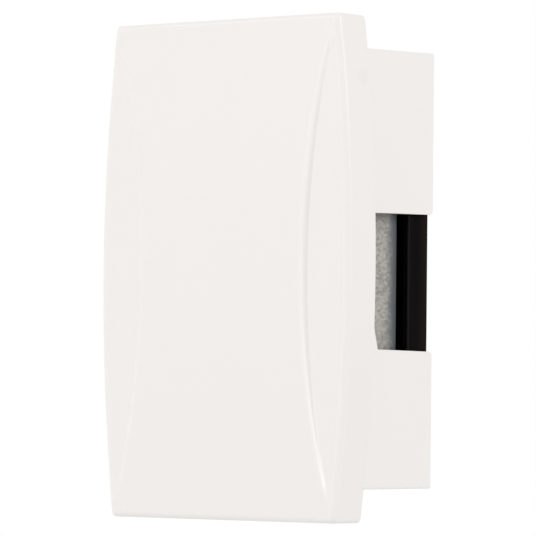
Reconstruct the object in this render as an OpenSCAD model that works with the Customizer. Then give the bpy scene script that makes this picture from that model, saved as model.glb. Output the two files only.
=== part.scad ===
// Two-note wall door chime: a white cover over a black base that carries
// a solenoid, its plunger and two tone plates.
// Origin at the middle of the wall face. +Z is up, the front faces -Y, +X is the viewer's right.
// A depth is measured forward from the wall, so depth 10 lies at y = -10. Millimetres.

/* [Cover] */
// Height of the front panel
panel_h = 132; // [128:1:140]
// Width of the front panel along its top and bottom
panel_end_w = 78; // [77:0.5:82]
// How far each side of the panel bows out at mid height
side_bow = 4.3; // [3.5:0.1:6]
// Depth of the raised front field from the wall
front_depth = 39.5; // [39:0.5:44]
// Depth of the panel's rear edge from the wall
panel_rear = 27.5; // [26:0.5:30]
// Height of the body behind the panel
body_h = 114.5; // [113:0.5:118]
// Width of the body behind the panel
body_w = 80.2; // [79:0.2:82]
// Wall thickness of the cover
wall = 1.6; // [1.4:0.1:1.8]
// How far each crescent reaches in from the panel's corners at mid height
crescent_in = 9.6; // [6:0.2:12]
// Depth of the scooped crescents at mid height
scoop = 1; // [0.6:0.1:1.2]
// Lower edge of the side notches
notch_low = -21.2; // [-22:0.1:-16]
// Upper edge of the side notches
notch_high = 14.9; // [10:0.1:18]

/* [Base] */
// Thickness of the base plate
base_t = 2.2; // [1.8:0.1:2.6]
// Depth of the rim round the base
rim_depth = 7.9; // [6:0.1:8.4]
// Distance between the two wall screw holes
screw_spacing = 84; // [80:1:88]
// Radius of the wall screw holes
screw_hole_r = 2.3; // [2:0.1:2.6]
// Radius of the cable entry
cable_r = 5.5; // [4:0.5:6]

/* [Chime] */
// Length of the right tone plate
plate_right_l = 98; // [94:1:100]
// Length of the left tone plate
plate_left_l = 88; // [84:1:92]
// Thickness of both tone plates
plate_t = 2.5; // [2:0.1:2.8]
// Gap from the left striker to its plate at rest
gap_left = 3; // [2:0.1:3]
// Gap from the right striker to its plate at rest
gap_right = 4; // [3:0.1:4]
// Number of curls in the return spring
spring_curls = 5; // [3:1:5]
// Wire diameter of the return spring
spring_wire = 0.5; // [0.3:0.1:0.5]

/* [Hidden] */
$fn = 64;
big_fn = 1440;

// Panel and crescents: radius of an arc from its chord and its rise
function arc_radius(chord, rise) = (chord * chord / 4 + rise * rise) / (2 * rise);
panel_half = panel_end_w / 2 + side_bow;
side_r = arc_radius(panel_h, side_bow);
crescent_r = arc_radius(panel_h, crescent_in - 0.4);
crescent_x = panel_end_w / 2 - crescent_in;
scoop_r = arc_radius(panel_h, scoop - 0.15);
skin_depth = front_depth - 2.6;
cover_gap = 0.5;
notch_depth = 25;
notch_round = 1.2;

// Inside of the cover and outside of the base
in_x = body_w / 2 - wall;
in_z = body_h / 2 - wall;
base_x = in_x - 0.2;
base_z = in_z - 0.2;
rim_t = 1.8;
latch_half = 7;
latch_z = in_z - 2.25;
hook_depth = 13.7;

// Solenoid axis, and where each plate stays still as it rings
axis_depth = 21;
still = 0.276;
plate_out = body_w / 2 - 4.7;
plate_in = plate_out - plate_t;
plate_rear = 9.2;
plate_front = 33;
lug_x = 26.8;
lug_t = 3;
peg_r = 2;
peg_end = in_x - 0.5;
grommet_r = 5.5;

// Solenoid
yoke_t = 1.5;
yoke_rear = axis_depth - 13.5;
yoke_half = 18.8;
ear_z = 16;
former_half = yoke_half - yoke_t - 0.1;
former_t = 1.5;
former_side = 11.5;
bore_r = 4.1;
winding_r = 10.6;
tag_x = -15.7;
tag_depths = [16, 26];
tag_end = -17.6;

// Plunger
core_r = 4;
core_left = -(plate_in - gap_left) + 2.4;
core_right = 11.5;
clip_left = core_left + 0.7;
clip_t = 0.8;

// Terminal block
way_x = [-19, -11];
way_depth = 8;
block_mid = [-15, -35];
clamp_z = [-31, -39];

// Block between two corners, with its depth range measured from the wall
module block(x0, x1, d0, d1, z0, z1) {
    translate([x0, -d1, z0])
        cube([x1 - x0, d1 - d0, z1 - z0]);
}

// Round bar along the depth, through x and z
module bar_y(r, x, z, d0, d1) {
    translate([x, -d0, z])
        rotate([90, 0, 0])
            cylinder(r = r, h = d1 - d0);
}

// Round bar across, through a depth and z
module bar_x(r, depth, z, x0, x1) {
    translate([x0, -depth, z])
        rotate([0, 90, 0])
            cylinder(r = r, h = x1 - x0);
}

// Round bar upwards, through x and a depth
module bar_z(r, x, depth, z0, z1) {
    translate([x, -depth, z0])
        cylinder(r = r, h = z1 - z0);
}

// Outline given as depths and heights, extended across from x0 to x1
module profile_x(points, x0, x1) {
    translate([x0, 0, 0])
        rotate([90, 0, 90])
            linear_extrude(x1 - x0)
                polygon([for (p = points) [-p[0], p[1]]]);
}

// Barrel outline of the panel between two depths
module barrel(d0, d1) {
    intersection() {
        block(-panel_half - 1, panel_half + 1, d0, d1, -panel_h / 2, panel_h / 2);
        bar_y(side_r, panel_half - side_r, 0, d0 - 1, d1 + 1, $fn = big_fn);
        bar_y(side_r, side_r - panel_half, 0, d0 - 1, d1 + 1, $fn = big_fn);
    }
}

// Scooped crescent on the right of the raised field
module crescent() {
    intersection() {
        block(0, panel_half + 2, front_depth - 3, front_depth + 2, -panel_h, panel_h);
        bar_y(crescent_r, crescent_x + crescent_r, 0, front_depth - 3, front_depth + 2, $fn = big_fn);
        bar_x(scoop_r, front_depth - scoop + scoop_r, 0, -1, panel_half + 3, $fn = big_fn);
    }
}

// Right side notch, open to the rear, with a slanted lower front corner and round rear corners
module notch() {
    profile_x([[-1, notch_low], [notch_depth - 2.4, notch_low], [notch_depth, notch_low + 7.2],
        [notch_depth, notch_high], [-1, notch_high]], in_x - 1, panel_half + 1);
    for (s = [-1, 1])
        let (edge = s > 0 ? notch_high : notch_low)
            difference() {
                block(in_x - 1, panel_half + 1, -1, cover_gap + notch_round,
                    min(edge, edge + s * notch_round), max(edge, edge + s * notch_round));
                bar_x(notch_round, cover_gap + notch_round, edge + s * notch_round,
                    in_x - 2, panel_half + 2);
            }
}

module cover() {
    color("whitesmoke") {
        difference() {
            union() {
                barrel(panel_rear, front_depth);
                block(-body_w / 2, body_w / 2, cover_gap, panel_rear + 1, -body_h / 2, body_h / 2);
            }
            block(-in_x, in_x, -1, skin_depth, -in_z, in_z);
            for (s = [0, 1])
                mirror([0, 0, s])
                    for (x = [-28, -9.35, 9.35, 28])
                        block(x - 8.6, x + 8.6, panel_rear - 1, skin_depth,
                            body_h / 2, panel_h / 2 - wall - 0.1);
            for (s = [0, 1])
                mirror([s, 0, 0]) {
                    notch();
                    crescent();
                }
        }
        for (s = [0, 1])
            mirror([0, 0, s])
                block(-latch_half, latch_half, hook_depth - 1.7, hook_depth - 0.1,
                    in_z - 1.65, in_z + 0.5);
        for (s = [0, 1], t = [0, 1])
            mirror([s, 0, 0])
                mirror([0, 0, t])
                    block(in_x - 3, in_x + 0.5, rim_depth + 0.1, skin_depth + 0.5,
                        in_z - 3, in_z + 0.5);
    }
}

// Bracket for one grommet on the right side
module lug(z) {
    block(lug_x, lug_x + lug_t, base_t - 0.5, axis_depth, z - 4.5, z + 4.5);
    bar_x(4.5, axis_depth, z, lug_x, lug_x + lug_t);
    bar_x(peg_r, axis_depth, z, lug_x + 1, peg_end);
    for (s = [-1, 1])
        translate([0, 0, z + s * 3.7 - 0.8])
            linear_extrude(1.6)
                polygon([[lug_x + 0.5, -base_t + 0.5], [lug_x + 0.5, -14], [lug_x - 2.5, -base_t + 0.5]]);
}

module base() {
    color([0.07, 0.07, 0.08])
        difference() {
            union() {
                block(-base_x, base_x, 0, base_t, -base_z, base_z);
                difference() {
                    block(-base_x, base_x, 0, rim_depth, -base_z, base_z);
                    block(-base_x + rim_t, base_x - rim_t, -1, rim_depth + 1,
                        -base_z + rim_t, base_z - rim_t);
                    for (s = [0, 1])
                        mirror([0, 0, s])
                            block(-latch_half - 1.5, latch_half + 1.5, base_t, rim_depth + 1,
                                latch_z - 1, base_z + 1);
                }
                for (s = [-1, 1]) {
                    bar_y(4.5, 0, s * screw_spacing / 2, base_t - 0.5, 4);
                    bar_y(4, 0, s * ear_z, base_t - 0.5, yoke_rear);
                    block(-14, 14, base_t - 0.5, 3.6, s * 30 - 0.7, s * 30 + 0.7);
                    lug(s * plate_right_l * still);
                    mirror([1, 0, 0])
                        lug(s * plate_left_l * still);
                }
                for (x = [-15, 15])
                    block(x - 0.7, x + 0.7, base_t - 0.5, 3.6, 24, 50);
                bar_y(cable_r + 2, 16, -40, base_t - 0.5, 4);
            }
            for (s = [-1, 1]) {
                bar_y(screw_hole_r, 0, s * screw_spacing / 2, -1, 5);
                bar_y(1.55, 0, s * ear_z, 1.2, yoke_rear + 1);
            }
            bar_y(cable_r, 16, -40, -1, 5);
            block(block_mid[0] - 9.1, block_mid[0] + 9.1, base_t, 4, block_mid[1] - 8.1, block_mid[1] + 8.1);
            bar_y(1.25, block_mid[0], block_mid[1], 0.8, 5);
        }
}

// Snap tongue at the top of the base
module latch() {
    profile_x([[base_t, latch_z - 2.4], [7, latch_z - 1.5], [17, latch_z - 1.2], [17, latch_z],
        [hook_depth, latch_z + 1.8], [hook_depth, latch_z], [base_t, latch_z]],
        -latch_half, latch_half);
}

module cover_latch_top() {
    color([0.07, 0.07, 0.08])
        latch();
}

module cover_latch_bottom() {
    color([0.07, 0.07, 0.08])
        mirror([0, 0, 1])
            latch();
}

// Tone plate on the right side, with a grommet hole at each still point
module tone_plate(length) {
    difference() {
        block(plate_in, plate_out, plate_rear, plate_front, -length / 2, length / 2);
        for (s = [-1, 1])
            bar_x(4, axis_depth, s * length * still, plate_in - 1, plate_out + 1);
    }
}

module tone_plate_right() {
    color([0.66, 0.66, 0.65])
        tone_plate(plate_right_l);
}

module tone_plate_left() {
    color([0.66, 0.66, 0.65])
        mirror([1, 0, 0])
            tone_plate(plate_left_l);
}

// Grommet on the right side, with a groove that the plate's hole sits in
module grommet(z) {
    difference() {
        union() {
            bar_x(grommet_r, axis_depth, z, lug_x + lug_t + 0.2, plate_in - 0.05);
            bar_x(3.9, axis_depth, z, plate_in - 0.5, plate_out + 0.5);
            bar_x(grommet_r, axis_depth, z, plate_out + 0.05, plate_out + 1.45);
        }
        bar_x(peg_r + 0.05, axis_depth, z, lug_x, peg_end + 1);
    }
}

module grommet_right_upper() {
    color([0.16, 0.15, 0.15])
        grommet(plate_right_l * still);
}

module grommet_right_lower() {
    color([0.16, 0.15, 0.15])
        grommet(-plate_right_l * still);
}

module grommet_left_upper() {
    color([0.16, 0.15, 0.15])
        mirror([1, 0, 0])
            grommet(plate_left_l * still);
}

module grommet_left_lower() {
    color([0.16, 0.15, 0.15])
        mirror([1, 0, 0])
            grommet(-plate_left_l * still);
}

// Push-on washer at the end of a right-hand peg
module push_washer(z) {
    difference() {
        bar_x(4, axis_depth, z, plate_out + 1.5, plate_out + 2);
        bar_x(peg_r + 0.05, axis_depth, z, plate_out, peg_end + 1);
        for (a = [0, 120, 240])
            translate([plate_out, -axis_depth, z])
                rotate([a, 0, 0])
                    translate([0, -0.35, 0])
                        cube([4, 0.7, 3]);
    }
}

module retaining_washers() {
    color([0.75, 0.75, 0.77])
        for (s = [-1, 1]) {
            push_washer(s * plate_right_l * still);
            mirror([1, 0, 0])
                push_washer(s * plate_left_l * still);
        }
}

module yoke() {
    color([0.72, 0.72, 0.74])
        difference() {
            union() {
                block(-yoke_half, yoke_half, yoke_rear, yoke_rear + yoke_t, -9, 9);
                block(-5, 5, yoke_rear, yoke_rear + yoke_t, -20.5, 20.5);
                for (s = [0, 1])
                    mirror([s, 0, 0])
                        block(yoke_half - yoke_t, yoke_half, yoke_rear, axis_depth + 9.5, -9, 9);
            }
            for (s = [0, 1])
                mirror([s, 0, 0])
                    difference() {
                        block(yoke_half - 2, yoke_half + 1, yoke_rear - 1, yoke_rear + 2, -10, 10);
                        bar_z(2, yoke_half - 2, yoke_rear + 2, -11, 11);
                    }
            bar_x(bore_r + 0.2, axis_depth, 0, -yoke_half - 1, yoke_half + 1);
            for (s = [-1, 1])
                bar_y(1.7, 0, s * ear_z, yoke_rear - 1, yoke_rear + 3);
        }
}

// Pan-head screw along the depth with a cross recess, its head resting on a depth
module pan_screw(x, z, seat, shank_r, head_r, length) {
    difference() {
        union() {
            bar_y(shank_r, x, z, seat - length, seat + 0.5);
            bar_y(head_r, x, z, seat, seat + head_r * 0.7);
        }
        for (a = [0, 90])
            translate([x, -seat - head_r * 0.7, z])
                rotate([0, a, 0])
                    cube([head_r * 1.3, head_r * 0.8, head_r * 0.26], center = true);
    }
}

module yoke_screws() {
    color([0.8, 0.78, 0.7])
        for (s = [-1, 1])
            pan_screw(0, s * ear_z, yoke_rear + yoke_t, 1.5, 2.8, 6);
}

module bobbin() {
    color([0.9, 0.88, 0.8])
        difference() {
            union() {
                bar_x(5, axis_depth, 0, -former_half, former_half);
                for (s = [0, 1])
                    mirror([s, 0, 0])
                        block(former_half - former_t, former_half, axis_depth - former_side,
                            axis_depth + former_side, -former_side, former_side);
                block(-former_half, tag_x + 1.5, tag_depths[0] - 2, tag_depths[1] + 2,
                    -former_side - 2.5, -former_side + 0.3);
            }
            bar_x(bore_r, axis_depth, 0, -former_half - 1, former_half + 1);
            for (d = tag_depths)
                bar_z(0.55, tag_x, d, -former_side - 3, -former_side - 0.5);
        }
}

// Tube between two radii round the solenoid axis
module sleeve(r0, r1, half) {
    difference() {
        bar_x(r1, axis_depth, 0, -half, half);
        bar_x(r0, axis_depth, 0, -half - 1, half + 1);
    }
}

module coil_winding() {
    color([0.72, 0.38, 0.16])
        sleeve(5.05, winding_r, former_half - former_t - 0.1);
}

module coil_tape() {
    color([0.93, 0.76, 0.2])
        sleeve(winding_r + 0.05, winding_r + 0.25, 12.5);
}

module solder_tags() {
    color([0.85, 0.8, 0.66])
        for (d = tag_depths)
            bar_z(0.5, tag_x, d, tag_end, -former_side - 0.6);
}

// Round wire along a list of points, with a reference direction at each point
function unit(v) = v / norm(v);
function course(p, i) = unit(p[min(i + 1, len(p) - 1)] - p[max(i - 1, 0)]);
function across(v, t) = unit(v - (v * t) * t);

module wire(p, refs, r, sides) {
    last = len(p) - 1;
    rings = [for (i = [0:last])
        let (t = course(p, i), n = across(refs[i], t), b = cross(t, n))
            for (j = [0:sides - 1]) p[i] + r * (cos(360 * j / sides) * n + sin(360 * j / sides) * b)];
    sides_a = [for (i = [0:last - 1], j = [0:sides - 1])
        [i * sides + j, (i + 1) * sides + j, (i + 1) * sides + (j + 1) % sides]];
    sides_b = [for (i = [0:last - 1], j = [0:sides - 1])
        [i * sides + j, (i + 1) * sides + (j + 1) % sides, i * sides + (j + 1) % sides]];
    first_cap = [for (j = [1:sides - 2]) [0, j, j + 1]];
    last_cap = [for (j = [1:sides - 2]) [last * sides, last * sides + j + 1, last * sides + j]];
    polyhedron(points = rings, faces = concat(sides_a, sides_b, first_cap, last_cap), convexity = 6);
}

// Smooth bend between two points with a handle at each end
function bend(a, b, c, d, t) =
    pow(1 - t, 3) * a + 3 * pow(1 - t, 2) * t * b + 3 * (1 - t) * t * t * c + pow(t, 3) * d;

// Lead from a solder tag down into one way of the terminal block
module coil_lead(tag_depth, x) {
    joint = [tag_x, -tag_depth, tag_end - 0.02];
    top = joint - [0, 0, 0.8];
    foot = [x, -way_depth, -26.4];
    p = concat([joint], [for (i = [0:10]) bend(top, top - [0, 0, 5], foot + [0, 0, 5], foot, i / 10)],
        [[x, -way_depth, -29.3]]);
    wire(p, [for (q = p) [1, 0, 0]], 0.6, 8);
}

module coil_lead_left() {
    color([0.75, 0.1, 0.08])
        coil_lead(tag_depths[0], way_x[0]);
}

module coil_lead_right() {
    color([0.12, 0.14, 0.5])
        coil_lead(tag_depths[1], way_x[1]);
}

module plunger_core() {
    color([0.6, 0.6, 0.62])
        difference() {
            bar_x(core_r, axis_depth, 0, core_left, core_right);
            difference() {
                bar_x(core_r + 1, axis_depth, 0, clip_left - 0.05, clip_left + clip_t + 0.05);
                bar_x(3.2, axis_depth, 0, clip_left - 1, clip_left + clip_t + 1);
            }
            bar_x(1.55, axis_depth, 0, core_left - 1, core_left + 6);
            bar_x(1.55, axis_depth, 0, core_right - 6, core_right + 1);
        }
}

// Striker with a domed end at tip, its shoulder against the core and a stem in the core's hole
module striker(tip, shoulder, r, stem) {
    dome_r = arc_radius(2 * r, 0.8);
    intersection() {
        bar_x(r, axis_depth, 0, tip, shoulder);
        union() {
            translate([tip + dome_r, -axis_depth, 0])
                sphere(dome_r);
            block(tip + dome_r, shoulder, axis_depth - r - 1, axis_depth + r + 1, -r - 1, r + 1);
        }
    }
    bar_x(1.5, axis_depth, 0, shoulder - 0.5, stem);
}

module striker_left() {
    color([0.94, 0.93, 0.88])
        striker(core_left - 2.4, core_left, 3, core_left + 5.5);
}

module striker_right() {
    color([0.94, 0.93, 0.88])
        mirror([1, 0, 0])
            striker(-(plate_in - gap_right), -core_right, 2.6, -core_right + 5.5);
}

module plunger_clip() {
    color([0.5, 0.5, 0.52])
        difference() {
            bar_x(6, axis_depth, 0, clip_left, clip_left + clip_t);
            bar_x(3.25, axis_depth, 0, clip_left - 1, clip_left + clip_t + 1);
            block(clip_left - 1, clip_left + clip_t + 1, axis_depth, axis_depth + 7, -2.6, 2.6);
        }
}

// Return spring round the core, from the clip to the yoke, with straight ends
spring_r = core_r + 0.4 + spring_wire / 2;
spring_x0 = clip_left + clip_t + 0.02;
spring_x1 = -yoke_half - 0.02;
curl_x0 = spring_x0 + 1.5 * spring_wire;
curl_x1 = spring_x1 - 1.5 * spring_wire;
spring_steps = spring_curls * 8;
function round_axis(x, a) = [x, -axis_depth + spring_r * cos(a), spring_r * sin(a)];
function curl_angle(i) = 360 * spring_curls * i / spring_steps;
spring_points = concat([round_axis(spring_x0, 0), round_axis(spring_x0 + spring_wire, 0)],
    [for (i = [1:spring_steps - 1])
        round_axis(curl_x0 + (curl_x1 - curl_x0) * i / spring_steps, curl_angle(i))],
    [round_axis(spring_x1 - spring_wire, 0), round_axis(spring_x1, 0)]);
spring_gap = min([for (i = [0:len(spring_points) - 6], j = [i + 5:len(spring_points) - 1])
    norm(spring_points[i] - spring_points[j])]) - spring_wire;
echo(spring_gap = spring_gap);

module return_spring() {
    color([0.7, 0.7, 0.72])
        wire(spring_points, [for (p = spring_points) [0, p[1] + axis_depth, p[2]]], spring_wire / 2, 6);
}

module terminal_block() {
    color([0.85, 0.85, 0.82])
        difference() {
            block(block_mid[0] - 9, block_mid[0] + 9, base_t, 14.5, block_mid[1] - 8, block_mid[1] + 8);
            for (x = way_x) {
                bar_z(2.55, x, way_depth, block_mid[1] - 9, block_mid[1] + 9);
                for (z = clamp_z)
                    bar_y(2.3, x, z, way_depth, 16);
            }
            bar_y(1.4, block_mid[0], block_mid[1], 1, 16);
            bar_y(1.9, block_mid[0], block_mid[1], 10, 16);
            block(block_mid[0] - 0.6, block_mid[0] + 0.6, 12.5, 16, block_mid[1] - 9, block_mid[1] - 3);
            block(block_mid[0] - 0.6, block_mid[0] + 0.6, 12.5, 16, block_mid[1] + 3, block_mid[1] + 9);
        }
}

// Brass sleeve in one way, with a wire bore and two clamp screw holes
module terminal_sleeve(x) {
    difference() {
        bar_z(2.5, x, way_depth, block_mid[1] - 7, block_mid[1] + 7);
        bar_z(1.5, x, way_depth, block_mid[1] - 8, block_mid[1] + 8);
        for (z = clamp_z)
            bar_y(1.3, x, z, way_depth, way_depth + 4);
    }
}

module terminal_sleeve_left() {
    color([0.78, 0.62, 0.28])
        terminal_sleeve(way_x[0]);
}

module terminal_sleeve_right() {
    color([0.78, 0.62, 0.28])
        terminal_sleeve(way_x[1]);
}

// Slotted clamp screw above one wire
module clamp_screw(x, z) {
    difference() {
        union() {
            bar_y(1.25, x, z, way_depth + 0.8, way_depth + 4);
            bar_y(2, x, z, way_depth + 2.8, way_depth + 5);
        }
        block(x - 2.5, x + 2.5, way_depth + 4.2, way_depth + 6, z - 0.3, z + 0.3);
    }
}

module terminal_screws() {
    color([0.82, 0.8, 0.74])
        for (x = way_x, z = clamp_z)
            clamp_screw(x, z);
}

module block_screw() {
    color([0.8, 0.78, 0.7])
        pan_screw(block_mid[0], block_mid[1], 10, 1.2, 1.8, 8.8);
}

cover();
base();
cover_latch_top();
cover_latch_bottom();
tone_plate_right();
tone_plate_left();
grommet_right_upper();
grommet_right_lower();
grommet_left_upper();
grommet_left_lower();
retaining_washers();
yoke();
yoke_screws();
bobbin();
coil_winding();
coil_tape();
solder_tags();
coil_lead_left();
coil_lead_right();
plunger_core();
striker_left();
striker_right();
plunger_clip();
return_spring();
terminal_block();
terminal_sleeve_left();
terminal_sleeve_right();
terminal_screws();
block_screw();
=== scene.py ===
import bmesh
import bpy
import math
from mathutils import Matrix, Vector


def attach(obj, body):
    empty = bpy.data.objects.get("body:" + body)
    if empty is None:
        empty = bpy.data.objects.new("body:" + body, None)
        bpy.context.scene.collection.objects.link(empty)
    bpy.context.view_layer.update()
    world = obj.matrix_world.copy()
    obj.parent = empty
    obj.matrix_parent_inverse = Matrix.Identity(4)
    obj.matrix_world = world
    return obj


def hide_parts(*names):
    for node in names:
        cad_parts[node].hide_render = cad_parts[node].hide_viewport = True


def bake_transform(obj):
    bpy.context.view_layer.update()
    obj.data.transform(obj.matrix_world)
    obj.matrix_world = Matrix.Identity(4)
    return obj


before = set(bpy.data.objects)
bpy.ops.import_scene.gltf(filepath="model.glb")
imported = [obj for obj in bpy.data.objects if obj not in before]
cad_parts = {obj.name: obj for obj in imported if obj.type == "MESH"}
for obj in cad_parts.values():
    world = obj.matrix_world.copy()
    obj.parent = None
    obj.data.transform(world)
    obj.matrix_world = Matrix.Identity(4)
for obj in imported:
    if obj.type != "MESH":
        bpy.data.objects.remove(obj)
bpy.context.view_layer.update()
scene = bpy.context.scene
mm = 0.001
across, upward, forward = Vector((1, 0, 0)), Vector((0, 0, 1)), Vector((0, -1, 0))
print("frame loaded,", len(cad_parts), "nodes")


# small tools for modelling

def at(x, depth, z):  # millimetres, depth is forward from the wall
    return Vector((x, -depth, z)) * mm


def ease(t):
    t = min(1.0, max(0.0, t))
    return t * t * (3 - 2 * t)


def arcRadius(chord, rise):
    return (chord * chord / 4 + rise * rise) / (2 * rise)


def clear():
    if bpy.context.mode != "OBJECT":
        bpy.ops.object.mode_set(mode="OBJECT")
    bpy.ops.object.select_all(action="DESELECT")


def take(obj):  # the one object that the next operators act on
    clear()
    obj.select_set(True)
    bpy.context.view_layer.objects.active = obj
    return obj


def middle(piece):  # middle of an edge or a face as x, depth, z in millimetres
    spots = [v.co for v in piece.verts]
    spot = sum(spots, Vector()) / len(spots) / mm
    return spot.x, -spot.y, spot.z


def span(edge, axis):  # how far an edge reaches along x, y or z, in millimetres
    one, two = (getattr(v.co, axis) for v in edge.verts)
    return abs(one - two) / mm


def about(spot, turn):  # a turn round a point
    return Matrix.Translation(spot) @ turn @ Matrix.Translation(-spot)


def pick(obj, kind, test=None):  # edit mode, with what passes the test selected, or all of it
    take(obj)
    bpy.ops.object.mode_set(mode="EDIT")
    bpy.ops.mesh.select_mode(type=kind)
    bpy.ops.mesh.select_all(action="DESELECT" if test else "SELECT")
    if test:
        mesh = bmesh.from_edit_mesh(obj.data)
        for piece in {"VERT": mesh.verts, "EDGE": mesh.edges, "FACE": mesh.faces}[kind]:
            if test(piece):
                piece.select_set(True)
        bmesh.update_edit_mesh(obj.data)


def leave():
    bpy.ops.object.mode_set(mode="OBJECT")


def bevelled(obj, test, width, segments):  # rounds the edges that pass the test
    pick(obj, "EDGE", test)
    bpy.ops.mesh.bevel(offset=width * mm, segments=segments, affect="EDGES")
    leave()
    return obj


def facedOut(obj):
    pick(obj, "FACE")
    bpy.ops.mesh.normals_make_consistent(inside=False)
    leave()
    return obj


def settle(obj):  # the place goes into the mesh
    take(obj)
    bpy.ops.object.transform_apply(location=True, rotation=True, scale=True)
    return obj


def blockAt(name, x0, x1, d0, d1, z0, z1):
    clear()
    bpy.ops.mesh.primitive_cube_add(size=1, location=at((x0 + x1) / 2, (d0 + d1) / 2, (z0 + z1) / 2))
    obj = bpy.context.object
    obj.name = name
    obj.scale = ((x1 - x0) * mm, (d1 - d0) * mm, (z1 - z0) * mm)
    return settle(obj)


def barAt(name, radius, start, end, sides=64):  # round bar between two points
    clear()
    along = end - start
    bpy.ops.mesh.primitive_cylinder_add(vertices=sides, radius=radius * mm, depth=along.length,
                                        location=(start + end) / 2)
    obj = bpy.context.object
    obj.name = name
    obj.rotation_euler = along.to_track_quat("Z", "Y").to_euler()
    return settle(obj)


def lineOf(name, spots):  # a line through the points, in edit mode and all selected
    clear()
    bpy.ops.mesh.primitive_plane_add(size=mm, location=spots[0])
    obj = settle(bpy.context.object)
    obj.name = name
    bpy.ops.object.mode_set(mode="EDIT")
    bpy.ops.mesh.select_mode(type="VERT")
    bpy.ops.mesh.select_all(action="SELECT")
    bpy.ops.mesh.merge(type="CENTER")
    for here, there in zip(spots, spots[1:]):
        bpy.ops.mesh.extrude_vertices_move(TRANSFORM_OT_translate={"value": there - here})
    bpy.ops.mesh.select_all(action="SELECT")
    return obj


def turned(name, points, origin, axis, outward, steps=64):
    # a profile of (along, radius) in millimetres, spun round the axis
    obj = lineOf(name, [origin + axis * (a * mm) + outward * (r * mm) for a, r in points])
    bpy.ops.mesh.spin(steps=steps, angle=2 * math.pi, center=origin, axis=axis)
    bpy.ops.mesh.select_all(action="SELECT")
    bpy.ops.mesh.remove_doubles(threshold=1e-6)
    return facedOut(obj)


def finished(obj, kind, **settings):  # a modifier, applied at once
    take(obj)
    mod = obj.modifiers.new(kind.lower(), kind)
    for key, value in settings.items():
        setattr(mod, key, value)
    bpy.ops.object.modifier_apply(modifier=mod.name)
    return obj


def softEdges(obj, width, segments=2, angle=35):
    return finished(obj, "BEVEL", width=width * mm, segments=segments, limit_method="ANGLE",
                    angle_limit=math.radians(angle), miter_outer="MITER_ARC")


def cut(obj, tool, operation="DIFFERENCE"):
    finished(obj, "BOOLEAN", operation=operation, solver="EXACT", object=tool)
    bpy.data.objects.remove(tool, do_unlink=True)
    return obj


def joined(pieces, name):
    take(pieces[0])
    for piece in pieces[1:]:
        piece.select_set(True)
    bpy.ops.object.join()
    pieces[0].name = name
    return pieces[0]


def copyOf(obj, name, matrix):  # a copy with its own mesh, moved in its mesh
    made = bpy.data.objects.new(name, obj.data.copy())
    scene.collection.objects.link(made)
    made.data.transform(matrix)
    if matrix.determinant() < 0:
        made.data.flip_normals()
    return made


def cadCopy(node, name):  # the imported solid's mesh, merged and with its flat faces whole again
    made = bpy.data.objects.new(name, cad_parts[node].data.copy())
    scene.collection.objects.link(made)
    pick(made, "VERT")
    bpy.ops.mesh.customdata_custom_splitnormals_clear()
    bpy.ops.mesh.remove_doubles(threshold=2e-6)
    bpy.ops.mesh.dissolve_limited(angle_limit=math.radians(0.4))
    leave()
    return made


def dress(obj, paint, body, slot, *nodes, angle=32):
    pick(obj, "VERT")
    bpy.ops.mesh.remove_doubles(threshold=5e-7)
    leave()
    bpy.ops.object.shade_smooth_by_angle(angle=math.radians(angle))
    finished(obj, "WEIGHTED_NORMAL", keep_sharp=True, weight=80)
    obj.data.materials.clear()
    obj.data.materials.append(paint)
    for face in obj.data.polygons:
        face.material_index = 0
    if body:
        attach(obj, body)
    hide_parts(*nodes)
    print("piece", obj.name, len(obj.data.polygons), "faces")
    return obj


# shader sums and nodes

class Value:
    def __init__(self, tree, socket):
        self.tree, self.socket = tree, socket

    def node(self, kind, settings=None, sockets=None, out=0):
        made = self.tree.nodes.new(kind)
        for key, value in (settings or {}).items():
            setattr(made, key, value)
        for key, value in (sockets or {}).items():
            if isinstance(value, Value):
                self.tree.links.new(value.socket, made.inputs[key])
            else:
                made.inputs[key].default_value = value
        return Value(self.tree, made.outputs[out])

    def sum(self, operation, first, second=0.0):
        return self.node("ShaderNodeMath", {"operation": operation}, {0: first, 1: second})

    def __add__(self, other):
        return self.sum("ADD", self, other)

    def __radd__(self, other):
        return self.sum("ADD", other, self)

    def __sub__(self, other):
        return self.sum("SUBTRACT", self, other)

    def __rsub__(self, other):
        return self.sum("SUBTRACT", other, self)

    def __mul__(self, other):
        return self.sum("MULTIPLY", self, other)

    def __rmul__(self, other):
        return self.sum("MULTIPLY", other, self)


def tones(share, first, second):  # one colour turning into another
    wide = [(*c, 1) if isinstance(c, tuple) else c for c in (first, second)]
    return share.node("ShaderNodeMix", {"data_type": "RGBA"}, {0: share, 6: wide[0], 7: wide[1]}, out=2)


def noise(pos, scale, detail=2.0, rough=0.5):
    return pos.node("ShaderNodeTexNoise", {}, {"Vector": pos, "Scale": scale, "Detail": detail,
                                                "Roughness": rough})


def stretched(pos, size):
    return pos.node("ShaderNodeVectorMath", {"operation": "MULTIPLY"}, {0: pos, 1: size})


def coordinate(pos, letter):
    return pos.node("ShaderNodeSeparateXYZ", {}, {0: pos}, out=letter)


def band(value, low, high):  # 0 below low, 1 above high, eased between
    return value.node("ShaderNodeMapRange", {"interpolation_type": "SMOOTHSTEP"},
                      {"Value": value, "From Min": low, "From Max": high})


def bump(height, strength, distance):
    return height.node("ShaderNodeBump", {}, {"Strength": strength, "Distance": distance, "Height": height})


def startPaint(name):
    material = bpy.data.materials.new(name)
    material.use_nodes = True
    tree = material.node_tree
    return material, Value(tree, tree.nodes.new("ShaderNodeTexCoord").outputs["Object"])


socketNames = {"colour": "Base Color", "roughness": "Roughness", "metallic": "Metallic", "normal": "Normal",
               "coat": "Coat Weight", "coatRough": "Coat Roughness", "specular": "Specular IOR Level"}


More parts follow.
